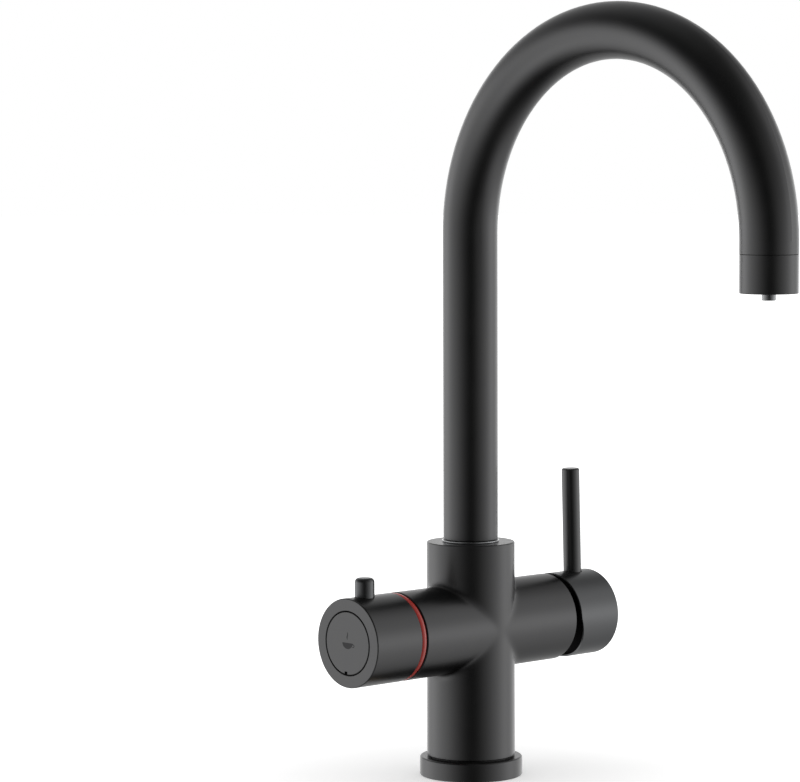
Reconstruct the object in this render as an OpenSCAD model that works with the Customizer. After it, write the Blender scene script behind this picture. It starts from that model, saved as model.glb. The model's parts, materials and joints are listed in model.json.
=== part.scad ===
// Boiling water tap: a tall swivel spout on a cross-shaped body, with a locked boiling knob
// on the left arm and a single-lever mixer on the right arm.
// Frame: origin at the centre of the base ring's underside, on the worktop. +Z up,
// the spout reaches towards -Y, the boiling knob is at -X and the mixer lever at +X.

/* [Spout] */
// Distance from the column's axis to the outlet's axis
spout_reach = 200; // [170:5:220]
// Height of the centre of the spout's bend above the worktop
bend_height = 277.5; // [250:2.5:300]
// Outside diameter of the spout tube
tube_d = 28; // [27.6:0.1:29]
// Wall of the spout tube
tube_wall = 1.5; // [1.2:0.1:1.8]
// Straight drop from the end of the bend to the outlet's lower edge
outlet_drop = 24.5; // [24.5:0.5:40]
// Length of the screwed sleeve at the outlet
sleeve_l = 18.3; // [17.5:0.1:19]
// Outside diameter of the screwed sleeve
sleeve_d = 27.8; // [27.2:0.1:28]
// How far the boiling water nozzle stands out of the outlet
nozzle_out = 3.3; // [1:0.1:5]
// Outside diameter of the inner boiling water pipe
inner_pipe_d = 8; // [6:0.5:8]
// Wall of the inner boiling water pipe
inner_pipe_wall = 1; // [0.6:0.1:1.2]
// Angle that the spout swings to each side
spout_swing = 90; // [45:5:90]

/* [Body] */
// Diameter of the upright body
body_d = 45; // [44.5:0.5:48]
// Height of the body's top face above the worktop
body_top = 120; // [116:1:135]
// Height of the axis of the two arms above the worktop
arm_z = 76; // [72:1:80]
// Length of the left arm from the column's axis to its end face
left_arm_l = 51.1; // [50.6:0.1:54]
// Length of the right arm from the column's axis to its end face
right_arm_l = 55; // [54.5:0.1:57]
// Thickness of the bright washer ring under the spout
slip_ring_t = 1.2; // [0.8:0.1:2]
// Radius of the soft inside corners between the column and the arms
fillet_r = 2; // [1:0.25:3]
// Size of the small chamfers on the body's edges
edge_c = 0.4; // [0.2:0.1:0.6]

/* [Base and fixing] */
// Diameter of the base ring
base_d = 52.5; // [50:0.5:56]
// Height of the base ring
base_h = 9.6; // [8:0.2:12]
// Shadow gap between the base ring and the body
base_gap = 0.5; // [0.4:0.1:1.2]
// Outside diameter of the threaded shank under the worktop
shank_d = 32.8; // [30:0.4:33.2]
// Wall of the threaded shank
shank_wall = 2.9; // [2:0.1:3.2]
// Length of the shank below the worktop's surface
shank_l = 60; // [58:1:80]
// Thickness of the worktop that the nut is set for
deck_t = 30; // [10:1:35]
// Diameter of the washers under the worktop
washer_d = 47; // [46:0.5:47]
// Thickness of the rubber washer
rubber_t = 3; // [2:0.5:4]
// Thickness of the steel washer
washer_t = 2; // [1:0.5:3]
// Width across the flats of the shank's nut
nut_af = 40; // [38:0.5:41]
// Height of the shank's nut
nut_h = 10; // [8:1:12]
// Radius of the threaded holes for the three hoses
port_r = 4.5; // [4:0.1:4.9]

/* [Boiling knob] */
// Width of the red ring
ring_w = 3.4; // [2.5:0.1:4]
// How far the red ring lies below the knob's surface
ring_recess = 0.1; // [0.05:0.05:0.5]
// Length of the knob
knob_l = 30.2; // [29.5:0.1:33]
// Radius of the push button
button_r = 15.75; // [15:0.05:16.25]
// Travel of the push button
button_travel = 3; // [1.5:0.5:3]
// Diameter of the peg on the knob
peg_d = 10; // [8:0.5:11]
// Height of the peg above the knob
peg_h = 9.4; // [7:0.2:12]
// Angle from closed to fully open
knob_turn = 90; // [60:5:90]

/* [Mixer lever] */
// Outside diameter of the lever cap
cap_d = 44.6; // [44.4:0.1:45]
// Length of the lever cap
cap_l = 27.8; // [27.5:0.1:31]
// Gap between the arm and the cap at the top
cap_gap = 3.7; // [3.5:0.1:4.2]
// Slope of the cut that lets the cap tilt
cap_cut = 16; // [15:1:20]
// Diameter of the lever rod
rod_d = 9.4; // [8:0.2:10]
// Height of the rod's top above the arms' axis
rod_top = 76.5; // [60:0.5:90]
// Lean of the rod towards the body
rod_lean = 1.6; // [0:0.1:2]
// Diameter of the mixer cartridge
cartridge_d = 35; // [34.8:0.1:35.2]

/* [Hidden] */
// clearances: a seat inside one body, a running fit, and free space between moving bodies
seat = 0.05;
run = 0.06;
gap = 0.3;
$fn = 96;

bend_r = spout_reach / 2;
tube_r = tube_d / 2;
tube_in = tube_r - tube_wall;
body_r = body_d / 2;
arm_r = body_r - 0.1;

// base ring, foot and shank
base_r = base_d / 2;
foot_r = 20;
fillet_a = 74;
fillet_n = 22;
fillet_m = 4;
fillet_sink = 0.03;
foot_z = 0.6;
body_foot = base_h + base_gap;
seal_in = 20.9;
seal_out = 23.7;
seal_t = 1.65;
land_r = 21.3;
shank_r = shank_d / 2;
tail_r = shank_r - 0.4;
tail_l = 12;
block_r = 18;
collar_z = 2;
block_z = 14;
block_top = 34;
port_circle = 7.2;
port_depth = 12;
duct_r = 3;

// spout seat in the body's top
bush_r = 13;
bush_h = 10;
stem_r = 11;
socket_r = stem_r + 0.4;
socket_depth = 23;
socket_z = body_top - socket_depth;
flow_r = 8;
tube_foot = body_top + slip_ring_t + gap;
seal_zs = [socket_z + 5, socket_z + 9];
groove_z = body_top - 5;
grub_r = 2.5;

// riser for boiling water, in the middle of the body
riser_r = 6;
riser_z = arm_z - 10;
riser_top = arm_z + 14;
pipe_r = inner_pipe_d / 2;
pipe_in = pipe_r - inner_pipe_wall;
pipe_z = arm_z + 4;

// left arm, measured outwards from the column's axis
valve_floor = 22;
valve_thread_r = 9.9;
gasket_u = left_arm_l - 15;
gasket_t = 1.2;
hex_u = gasket_u + gasket_t + seat;
hex_h = 7.7;
valve_hex_af = 22;
chamber_r = 14;
stop_u = left_arm_l + 0.9;
stop_r = 18;
stop_t = 3.5;
spigot_r = arm_r - 2;
ring_u = left_arm_l + 0.25;
ring_end = left_arm_l + ring_w - 0.1;
knob_u = left_arm_l + ring_w + gap;
knob_front = knob_u + knob_l;
spigot_u = knob_u + 3.2;
neck_end = left_arm_l + 4.9;
knob_floor_t = 6.8;
knob_pocket = 8.2;
floor_front = knob_front - knob_pocket;
floor_back = floor_front - knob_floor_t;
knob_cavity_r = spigot_r + gap;
pocket_r = button_r + 0.35;
spindle_r = 4;
spindle_end = floor_back - 2.2;
hub_u = neck_end + 3;
hub_r = 8;
hub_flange_r = 9.6;
leg_r = 11;
leg_t = 1.6;
leg_w = 3;
leg_angles = [30, 150, 270];
barb = 0.8;
button_plate = 2.6;
skirt_l = 2.2;
well_in = 5.2;
well_out = 8.6;
well_depth = 4.3;
spring_r = (well_in + well_out) / 2;
wire_r = 0.45;
coils = 3.5;
stop_pin_r = 1.5;
stop_circle = 14.8;
peg_u = (floor_front + floor_back) / 2;
peg_stud_r = 2.5;
peg_stud_l = 7;
knob_screw_r = 2;
screw_head_r = 3.8;
screw_head_h = 3.3;

// right arm, measured outwards from the column's axis
cart_r = cartridge_d / 2;
cart_floor = right_arm_l - 32;
cart_wall_r = cart_r + 0.2;
shoulder_w = cart_floor + 19;
thread_r = 19.2;
pivot_w = cart_floor + 22;
base_t = 3.6;
fixed_disc_w = cart_floor + 4.05;
fixed_disc_t = 3.45;
moving_disc_w = fixed_disc_w + fixed_disc_t + run;
moving_disc_t = 3.4;
disc_carrier_w = moving_disc_w + moving_disc_t + seat;
disc_carrier_t = 3.4;
ball_r = 2.5;
ball_w = disc_carrier_w + 1.6;
tilt_max = 25;
disc_travel = (pivot_w - ball_w) * tilt_max * PI / 180;
turret_w = disc_carrier_w + disc_carrier_t + 0.7;
turret_r = 14;
turret_end = shoulder_w + 4.2;
stem_half = 4;
dome_sphere_r = 21;
dome_hole_r = 13.5;
cap_r = cap_d / 2;
cap_w = right_arm_l + cap_gap;
cap_end = cap_w + cap_l;
cap_bore_r = cap_r - 1.1;
hub_w = pivot_w + dome_sphere_r + 1.5;
socket_end = cap_end - 5.5;
rod_r = rod_d / 2;
rod_w = cap_end - 11.5;
lever_grub_w = cap_end - 8.3;

// ---- frames and repeated shapes ----

// local +Z points out of the left arm, local +X points up
module left() {
    translate([0, 0, arm_z]) rotate([0, -90, 0]) children();
}

// local +Z points out of the right arm, local +X points up
module right() {
    translate([0, 0, arm_z]) rotate([0, 90, 0]) rotate([0, 0, 180]) children();
}

// cylinder from z0 to z1
module rod(z0, z1, r) {
    translate([0, 0, z0]) cylinder(h = z1 - z0, r = r);
}

// tube from z0 to z1
module tube(z0, z1, ro, ri) {
    difference() {
        rod(z0, z1, ro);
        rod(z0 - 1, z1 + 1, ri);
    }
}

// hexagonal bar with its corners turned off
module hex_bar(z0, z1, af) {
    corner = af / sqrt(3);
    intersection() {
        translate([0, 0, z0]) cylinder(h = z1 - z0, r = corner, $fn = 6);
        rotate_extrude()
            polygon([[0, z0], [corner - 1, z0], [corner, z0 + 0.6], [corner, z1 - 0.6],
                     [corner - 1, z1], [0, z1]]);
    }
}

// cylinder with a chamfer at one or both ends
module chamfered(z0, z1, r, c0, c1) {
    rotate_extrude()
        polygon([[0, z0], [r - c0, z0], [r, z0 + c0], [r, z1 - c1], [r - c1, z1], [0, z1]]);
}

// O-ring of a given middle radius and cord radius, lying at height z
module o_ring(z, r, cord) {
    translate([0, 0, z]) rotate_extrude() translate([r, 0]) circle(r = cord, $fn = 24);
}

// part of a flat ring between two angles
module ring_sector(z0, z1, ro, ri, a0, a1) {
    translate([0, 0, z0]) rotate([0, 0, a0])
        rotate_extrude(angle = a1 - a0)
            translate([ri, 0]) square([ro - ri, z1 - z0]);
}

// points of an arc about c, for outlines
function arc(c, r, a0, a1, n) =
    [for (i = [0:n]) c + r * [cos(a0 + (a1 - a0) * i / n), sin(a0 + (a1 - a0) * i / n)]];

// ---- base and fixing ----

module base_ring() {
    round_top = 0.9;
    round_low = 0.5;
    color([0.09, 0.09, 0.095])
        difference() {
            rotate_extrude()
                polygon(concat([[foot_r + seat, 0]],
                               arc([base_r - round_low, round_low], round_low, -90, 0, 6),
                               arc([base_r - round_top, base_h - round_top], round_top, 0, 90, 8),
                               [[land_r, base_h], [land_r, body_foot], [foot_r + seat, body_foot]]));
            tube(-1, seal_t + seat, seal_out, seal_in);
        }
}

module base_seal() {
    color([0.05, 0.05, 0.05]) tube(0, seal_t, seal_out - seat, seal_in + seat);
}

module shank() {
    slot_w = 4;
    slot_h = 3;
    color([0.78, 0.66, 0.38])
        difference() {
            union() {
                rod(collar_z, block_z - gap, block_r - seat);
                chamfered(-shank_l + tail_l - 0.5, collar_z, shank_r, 0.5, 0);
                chamfered(-shank_l, 0, tail_r, 1, 0);
            }
            rod(-shank_l - 1, block_z + 1, shank_r - shank_wall);
            translate([-shank_r - 1, -slot_w / 2, -shank_l - 1])
                cube([shank_d + 2, slot_w, slot_h + 1]);
        }
}

module deck_rubber_washer() {
    color([0.06, 0.06, 0.06])
        tube(-deck_t - rubber_t, -deck_t, washer_d / 2, shank_r + 0.5);
}

module deck_steel_washer() {
    top = -deck_t - rubber_t;
    color([0.7, 0.71, 0.72])
        tube(top - washer_t, top, washer_d / 2, shank_r + 0.4);
}

module deck_nut() {
    top = -deck_t - rubber_t - washer_t;
    color([0.78, 0.66, 0.38])
        difference() {
            hex_bar(top - nut_h, top, nut_af);
            rod(top - nut_h - 1, top + 1, shank_r + seat);
        }
}

// ---- inlet block: three hose ports and the ducts that start from them ----

mixer_duct = [13, 7];
boil_duct = [-14, 0];
port_angles = [60, -60, 180];
duct_ends = [mixer_duct, [mixer_duct.x, -mixer_duct.y], boil_duct];
block_seal_zs = [block_z + 4, block_z + 10];
block_seal_r = 0.85;

module inlet_block() {
    pocket = 4;
    color([0.78, 0.66, 0.38])
        difference() {
            rod(block_z, block_top, block_r - seat);
            for (i = [0:2]) {
                port = port_circle * [cos(port_angles[i]), sin(port_angles[i])];
                way = duct_ends[i] - port;
                translate([port.x, port.y, block_z - 1]) cylinder(h = port_depth + 1, r = port_r);
                translate([port.x, port.y, block_z]) cylinder(h = block_top, r = duct_r);
                translate([port.x, port.y, block_top - pocket])
                    rotate([0, 0, atan2(way.y, way.x)])
                        translate([0, -duct_r + 0.1, 0])
                            cube([norm(way), 2 * duct_r - 0.2, pocket + 1]);
                translate([duct_ends[i].x, duct_ends[i].y, block_top - pocket])
                    cylinder(h = pocket + 1, r = duct_r);
            }
            for (z = block_seal_zs)
                tube(z - 1, z + 1, block_r + 1, block_r - 2 * block_seal_r - 2 * seat);
        }
}

module inlet_block_seals() {
    color([0.05, 0.05, 0.05])
        for (z = block_seal_zs) o_ring(z, block_r - block_seal_r - seat, block_seal_r);
}

// ---- body casting ----

cart_ports = [[-6, 7], [-6, -7], [12, 0]];
outlet_z_in = arm_z + cart_ports[2].x;
duct_top = arm_z + cart_ports[0].x;

// slanted duct from the boiling port up to the valve's chamber
module valve_feed() {
    low = [boil_duct.x, arm_z - 25];
    high = [-valve_floor - 6, arm_z - 7];
    way = high - low;
    translate([low.x, 0, low.y])
        rotate([0, atan2(way.x, way.y), 0])
            translate([0, 0, -1]) cylinder(h = norm(way) + 2, r = duct_r - 0.5);
}

// soft inside corner where one arm meets the column, on its upper or lower side: sections that
// follow a ball rolling along the corner, sunk a little into both round faces
module corner_fillet() {
    step = 2 * fillet_a / fillet_n;
    sections = [for (i = [0:fillet_n])
        let (a = -fillet_a + i * step,
             y = (body_r + fillet_r) * sin(a),
             sx = sqrt(pow(body_r + fillet_r, 2) - y * y),
             sz = sqrt(max(0, pow(arm_r + fillet_r, 2) - y * y)),
             n1 = [sx, y, 0] / (body_r + fillet_r),
             n2 = [0, y, sz] / (arm_r + fillet_r),
             between = acos(n1 * n2))
        concat([for (k = [0:fillet_m])
                let (t = k / fillet_m,
                     dir = (n1 * sin((1 - t) * between) + n2 * sin(t * between)) / sin(between))
                [sx, y, sz] - (fillet_r + (k == 0 || k == fillet_m ? fillet_sink : 0)) * dir],
               [[sx * body_r / (body_r + fillet_r), y * body_r / (body_r + fillet_r),
                 sz * arm_r / (arm_r + fillet_r)] - 0.7 * (n1 + n2)])];
    m = fillet_m + 2;
    polyhedron(
        points = [for (s = sections) for (p = s) p],
        faces = concat(
            [[for (k = [0:m - 1]) k]],
            [[for (k = [m - 1:-1:0]) fillet_n * m + k]],
            [for (i = [0:fillet_n - 1]) for (k = [0:m - 1]) for (h = [0, 1])
                let (a = i * m + k, b = i * m + (k + 1) % m, c = b + m, d = a + m)
                h == 0 ? [a, d, b] : [b, d, c]]));
}

module body_outside() {
    rod(foot_z, body_foot + 1, foot_r);
    chamfered(body_foot, body_top, body_r, edge_c, edge_c);
    left() {
        chamfered(0, left_arm_l, arm_r, 0, edge_c);
        chamfered(0, spigot_u, spigot_r, 0, edge_c);
    }
    right() chamfered(0, right_arm_l, arm_r, 0, edge_c);
    translate([0, 0, arm_z])
        for (side = [0, 180], turn = [0, 180]) rotate([turn, 0, side]) corner_fillet();
}

module body_ducts() {
    for (end = [duct_ends[0], duct_ends[1]]) {
        translate([end.x, end.y, block_top - 1]) cylinder(h = duct_top - block_top + 1, r = duct_r);
        translate([end.x, end.y, duct_top]) rotate([0, 90, 0])
            cylinder(h = cart_floor - end.x + 1, r = duct_r - 0.1);
    }
    translate([0, 0, outlet_z_in]) rotate([0, 90, 0]) cylinder(h = cart_floor + 1, r = 4);
    translate([boil_duct.x, boil_duct.y, block_top - 1])
        cylinder(h = arm_z - 24 - block_top, r = duct_r);
    valve_feed();
    left() rod(riser_r - 1, valve_floor + 1, 4.5);
}

module body() {
    color([0.09, 0.09, 0.095])
        difference() {
            body_outside();
            // shank and inlet block
            rod(foot_z - 1, block_top, block_r);
            // riser, mixing chamber and spout socket
            rod(riser_z, body_top, riser_r + seat);
            rod(arm_z + 8, body_top, flow_r);
            rod(socket_z, body_top + 1, socket_r);
            rod(body_top - bush_h, body_top + 1, bush_r);
            translate([0, 0, groove_z]) rotate([-90, 0, 0])
                rod(socket_r - 1, body_r + 1, grub_r + seat);
            // boiling valve
            left() {
                rod(valve_floor, left_arm_l, valve_thread_r);
                rod(gasket_u, stop_u + 1, chamber_r);
                rod(stop_u, spigot_u + 1, stop_r);
            }
            // mixer cartridge
            right() {
                rod(cart_floor, right_arm_l, cart_wall_r);
                rod(shoulder_w, right_arm_l + 1, thread_r);
            }
            body_ducts();
        }
}

module riser() {
    groove = pipe_z + 5;
    color([0.78, 0.66, 0.38])
        difference() {
            union() {
                rod(riser_z, arm_z + 8, riser_r);
                rod(riser_z, riser_top, riser_r - 0.2);
            }
            rod(arm_z - 4, riser_top, pipe_in);
            rod(pipe_z - 0.5, riser_top + 1, pipe_r + run);
            rod(groove - 0.6, groove + 0.6, pipe_r + 1.1);
            left() rod(0, riser_r + 1, 2.5);
        }
}

module riser_seal() {
    color([0.05, 0.05, 0.05]) o_ring(pipe_z + 5, pipe_r + 0.55, 0.48);
}

// ---- spout seat ----

module slip_ring() {
    ring_r = tube_r + 0.5;
    inner = stem_r + gap;
    low = body_top;
    high = body_top + slip_ring_t;
    color([0.75, 0.76, 0.77])
        rotate_extrude()
            polygon([[inner, low], [ring_r - 0.35, low], [ring_r, low + 0.35],
                     [ring_r, high - 0.35], [ring_r - 0.35, high], [inner, high]]);
}

module spout_bush() {
    color([0.85, 0.85, 0.82])
        difference() {
            tube(body_top - bush_h, body_top - gap, bush_r - seat, stem_r + run);
            translate([0, 0, groove_z]) rotate([-90, 0, 0]) rod(0, bush_r + 1, grub_r + seat);
        }
}

module spout_grub_screw() {
    tip_r = 1.4;
    outer = body_r - 0.8;
    color([0.4, 0.4, 0.42])
        translate([0, 0, groove_z]) rotate([-90, 0, 0])
            difference() {
                union() {
                    rod(bush_r, outer, grub_r);
                    rod(stem_r - 1, bush_r, tip_r);
                }
                translate([0, 0, outer - 2.5]) cylinder(h = 3, r = 1.45, $fn = 6);
            }
}

// ---- left arm: boiling valve ----

module red_ring() {
    // round bead whose crown is nearly flush with the arm
    rise = 0.75;
    half = (ring_end - ring_u) / 2;
    bead_r = (half * half + rise * rise) / (2 * rise);
    edge_a = asin(half / bead_r);
    color([0.72, 0.16, 0.12])
        left() rotate_extrude()
            polygon(concat([[spigot_r + seat, ring_u]],
                           arc([arm_r - ring_recess - bead_r, ring_u + half], bead_r,
                               -edge_a, edge_a, 10),
                           [[spigot_r + seat, ring_end]]));
}

module valve_body() {
    barrel_r = valve_thread_r - seat;
    barrel_u = valve_floor + 1.1;
    color([0.78, 0.66, 0.38])
        left() difference() {
            union() {
                rod(barrel_u, hex_u + 0.5, barrel_r);
                hex_bar(hex_u, hex_u + hex_h, valve_hex_af);
                rod(hex_u + hex_h - 1, stop_u, 8);
                rod(stop_u - 1, neck_end, 6.5);
            }
            rod(barrel_u - 1, valve_floor + 11, 8.2);
            rod(valve_floor, neck_end + 1, spindle_r + run);
            // side window of the barrel
            rotate([0, -90, 0]) translate([valve_floor + 6, 0, 0]) cylinder(h = 12, r = 2.2);
        }
}

module valve_gasket() {
    color([0.05, 0.05, 0.05])
        left() tube(gasket_u, gasket_u + gasket_t, chamber_r - 1.5, valve_thread_r);
}

module valve_seat_seal() {
    color([0.05, 0.05, 0.05]) left() tube(valve_floor, valve_floor + 1, 8.1, 5);
}

// ceramic disc with two quarter windows
module windowed_disc(z0, z1, r) {
    difference() {
        rod(z0, z1, r);
        for (a = [0, 180]) ring_sector(z0 - 1, z1 + 1, r - 1.4, 1.6, a + 5, a + 85);
    }
}

valve_disc_u = valve_floor + 1.1;
valve_disc_t = 1.95;

module valve_fixed_disc() {
    color([0.93, 0.92, 0.88])
        left() windowed_disc(valve_disc_u, valve_disc_u + valve_disc_t, 8.2 - seat);
}

module valve_moving_disc() {
    low = valve_disc_u + valve_disc_t + run;
    color([0.93, 0.92, 0.88])
        left() rotate([0, 0, 90]) windowed_disc(low, low + valve_disc_t, 8.2 - gap);
}

module stop_ring() {
    half = asin((stop_pin_r + 0.2) / stop_circle);
    color([0.3, 0.3, 0.32])
        left() difference() {
            tube(stop_u, stop_u + stop_t, stop_r - seat, 6.5 + seat);
            ring_sector(stop_u - 1, stop_u + stop_t + 1, stop_circle + stop_pin_r + gap,
                        stop_circle - stop_pin_r - gap, 180 - knob_turn - half, 180 + half);
        }
}

module valve_spindle() {
    low = valve_disc_u + 2 * valve_disc_t + run + seat;
    drive_w = 4.4;
    seal_u = hex_u + hex_h + 2;
    clip_u = neck_end + 0.3;
    color([0.8, 0.7, 0.45])
        left() difference() {
            union() {
                // bar that turns the disc, and the collar behind it
                rotate([0, 0, 45]) translate([-7, -drive_w / 2, low])
                    cube([14, drive_w, valve_floor + 10 - low]);
                rod(valve_floor + 9, valve_floor + 10.7, 7.6);
                rod(low, spindle_end, spindle_r);
            }
            tube(seal_u - 0.6, seal_u + 0.6, spindle_r + 1, spindle_r - 0.9);
            tube(clip_u, clip_u + 0.9, spindle_r + 1, spindle_r - 0.7);
            rod(spindle_end - 8, spindle_end + 1, knob_screw_r + seat);
        }
}

module spindle_seal() {
    color([0.05, 0.05, 0.05]) left() o_ring(hex_u + hex_h + 2, spindle_r - 0.4, 0.4);
}

module spindle_clip() {
    low = neck_end + 0.35;
    color([0.5, 0.5, 0.52])
        left() difference() {
            tube(low, low + 0.8, spindle_r + 2.2, spindle_r - 0.65);
            translate([0, -1, low - 1]) cube([spindle_r + 4, 2, 3]);
        }
}

module knob_hub() {
    color([0.82, 0.8, 0.74])
        left() difference() {
            union() {
                rod(hub_u, floor_back - 2, hub_r);
                rod(floor_back - 3, floor_back, hub_flange_r);
            }
            rod(hub_u - 1, spindle_end + 0.7, spindle_r + seat);
            rod(hub_u, floor_back + 1, knob_screw_r + 0.1);
        }
}

module knob_screw() {
    seat_u = floor_front - screw_head_h - 0.2;
    color([0.6, 0.6, 0.62])
        left() difference() {
            union() {
                rod(spindle_end - 7, seat_u + 0.5, knob_screw_r);
                chamfered(seat_u, seat_u + screw_head_h, screw_head_r, 0, 0.4);
            }
            translate([0, 0, seat_u + 1.3]) cylinder(h = screw_head_h, r = 1.75, $fn = 6);
        }
}

module stop_pin() {
    color([0.6, 0.6, 0.62])
        left() translate([-stop_circle, 0, 0])
            chamfered(stop_u + 1.2, floor_back + 4, stop_pin_r, 0.3, 0.3);
}

// slots in the knob's floor for the button's snap legs
module leg_slots() {
    for (a = leg_angles)
        rotate([0, 0, a])
            translate([leg_r - 0.7, -leg_w / 2 - 0.3, floor_back - 1])
                cube([leg_t + 1, leg_w + 0.6, knob_floor_t + 2]);
}

module knob() {
    front_round = 0.6;
    color([0.09, 0.09, 0.095])
        left() difference() {
            rotate_extrude()
                polygon(concat([[0, knob_u], [arm_r - 0.3, knob_u], [arm_r, knob_u + 0.3]],
                               arc([arm_r - front_round, knob_front - front_round],
                                   front_round, 0, 90, 6),
                               [[0, knob_front]]));
            rod(knob_u - 1, floor_back, knob_cavity_r);
            chamfered(floor_front, knob_front + 1, pocket_r, 0, 0);
            rotate_extrude()
                polygon([[0, knob_front - 0.3], [pocket_r, knob_front - 0.3],
                         [pocket_r + 0.8, knob_front + 0.5], [0, knob_front + 0.5]]);
            // spring well, screw recess and screw hole
            tube(floor_front - well_depth, floor_front + 1, well_out, well_in);
            rod(floor_front - screw_head_h - 0.2, floor_front + 1, screw_head_r + 0.2);
            rod(floor_back - 1, floor_front, knob_screw_r + 0.1);
            leg_slots();
            translate([-stop_circle, 0, 0]) rod(floor_back - 1, floor_back + 4.3, stop_pin_r + seat);
            // hole for the peg's stud, and its flat seat
            translate([0, 0, peg_u]) rotate([0, 90, 0])
                rod(arm_r - peg_stud_l - 1.5, arm_r + 1, peg_stud_r + seat);
        }
}

module knob_peg() {
    round_r = 2.2;
    foot = sqrt(arm_r * arm_r - pow(peg_d / 2 + seat, 2)) - 0.15;
    color([0.09, 0.09, 0.095])
        left() translate([0, 0, peg_u]) rotate([0, 90, 0]) {
            difference() {
                rotate_extrude()
                    polygon(concat([[0, foot], [peg_d / 2, foot]],
                                   arc([peg_d / 2 - round_r, arm_r + peg_h - round_r],
                                       round_r, 0, 90, 8),
                                   [[0, arm_r + peg_h]]));
                // saddle that rests on the round knob
                rotate([0, 90, 0]) rod(-peg_d, peg_d, arm_r + seat);
            }
            rod(arm_r - peg_stud_l, arm_r + 1, peg_stud_r);
        }
}

// one snap leg with its barb
module snap_leg() {
    tip = floor_back - gap - 1.1;
    translate([leg_r, -leg_w / 2, tip])
        cube([leg_t, leg_w, knob_front - button_plate - tip + 0.5]);
    translate([leg_r, -leg_w / 2, 0]) rotate([90, 0, 0]) mirror([0, 0, 1])
        linear_extrude(leg_w)
            polygon([[0.5, tip], [leg_t, tip], [leg_t + barb, tip + 0.6],
                     [leg_t + barb, tip + 1.1], [0.5, tip + 1.1]]);
}

module safety_button() {
    low = knob_front - button_plate;
    color([0.1, 0.1, 0.105])
        left() {
            difference() {
                union() {
                    chamfered(low, knob_front, button_r, 0, 0.3);
                    tube(low - skirt_l, low + 0.5, button_r, button_r - 1.5);
                }
                // small square notch at the button's lower edge
                translate([-button_r - 1, 0.2, knob_front - 1.2]) cube([2.6, 2, 2]);
            }
            for (a = leg_angles) rotate([0, 0, a]) snap_leg();
        }
}

// wound wire between two planes, swept along its helix
module button_spring() {
    low = floor_front - well_depth + wire_r + seat;
    high = knob_front - button_plate - wire_r - seat;
    steps = 70;
    sides = 6;
    rings = [for (i = [0:steps])
        let (a = 360 * coils * i / steps, z = low + (high - low) * i / steps)
        [for (k = [0:sides - 1])
            let (b = 360 * k / sides)
            [(spring_r + wire_r * cos(b)) * cos(a), (spring_r + wire_r * cos(b)) * sin(a),
             z + wire_r * sin(b)]]];
    points = [for (ring = rings) each ring];
    quads = [for (i = [0:steps - 1], k = [0:sides - 1])
        let (n = (k + 1) % sides)
        [i * sides + k, i * sides + n, (i + 1) * sides + n, (i + 1) * sides + k]];
    ends = [[for (k = [sides - 1:-1:0]) k], [for (k = [0:sides - 1]) steps * sides + k]];
    color([0.7, 0.71, 0.72]) left() polyhedron(points, concat(quads, ends));
}

// ---- right arm: mixer cartridge ----

module cart_holes(z0, z1, r, share) {
    for (p = cart_ports) translate([p.x * share, p.y * share, 0]) rod(z0, z1, r);
}

module cartridge_base() {
    low = cart_floor + 0.4;
    color([0.9, 0.9, 0.88])
        right() difference() {
            rod(low, cart_floor + 4, cart_r);
            cart_holes(low - 1, cart_floor + 5, 2.2, 0.85);
            for (p = cart_ports) translate([p.x, p.y, 0]) rod(low - 1, low + 1, 3.6);
        }
}

module cartridge_seals() {
    color([0.05, 0.05, 0.05])
        right() for (p = cart_ports) translate([p.x, p.y, 0]) o_ring(cart_floor + 0.68, 2.9, 0.65);
}

module cartridge_fixed_disc() {
    color([0.93, 0.92, 0.88])
        right() difference() {
            rod(fixed_disc_w, fixed_disc_w + fixed_disc_t, 13.5);
            cart_holes(fixed_disc_w - 1, fixed_disc_w + 5, 2.4, 0.7);
        }
}

module cartridge_shell() {
    cavity_r = turret_r + 0.8;
    color([0.25, 0.35, 0.6])
        right() difference() {
            union() {
                rod(cart_floor + 4.05, shoulder_w, cart_r);
                rod(shoulder_w - 1, shoulder_w + 5.5, turret_r + 1.2);
            }
            rod(cart_floor + 3, turret_w - 0.2, cavity_r);
            rod(turret_w - 1, turret_end + run, turret_r);
            rod(turret_w, shoulder_w + 6, turret_r - 1.4 + gap);
        }
}

module cartridge_nut() {
    low = shoulder_w + 0.1;
    bore = turret_r + 1.4;
    color([0.78, 0.66, 0.38])
        right() difference() {
            union() {
                rod(low, low + 5, thread_r - seat);
                hex_bar(low + 4, low + 9.4, 1.716 * thread_r);
            }
            rod(low - 1, low + 10, bore);
        }
}

module dome_cover() {
    wall = 1.5;
    low = shoulder_w + 9.7;
    rim_r = thread_r - seat;
    a_rim = acos(rim_r / dome_sphere_r);
    a_hole = acos(dome_hole_r / dome_sphere_r);
    inner = dome_sphere_r - wall;
    b_hole = acos(dome_hole_r / inner);
    b_rim = asin((low - pivot_w) / inner);
    centre = [0, pivot_w];
    color([0.04, 0.04, 0.04])
        right() rotate_extrude()
            polygon(concat([[rim_r, low]], arc(centre, dome_sphere_r, a_rim, a_hole, 12),
                           arc(centre, inner, b_hole, b_rim, 12)));
}

module cartridge_turret() {
    guide_y = 10.3;
    color([0.9, 0.9, 0.88])
        right() difference() {
            union() {
                rod(turret_w, turret_end, turret_r - run);
                rod(turret_w, turret_end + 2, turret_r - 1.4);
                for (s = [-1, 1])
                    translate([-5, s > 0 ? guide_y : -guide_y - 2.2, turret_w - 3])
                        cube([10, 2.2, 4]);
            }
            // slot for the stem
            translate([-11, -stem_half - run, turret_w - 1])
                cube([22, 2 * (stem_half + run), turret_end - turret_w + 5]);
            translate([0, 0, pivot_w]) rotate([90, 0, 0]) rod(-13, 13, 1.5 + seat);
        }
}

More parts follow.
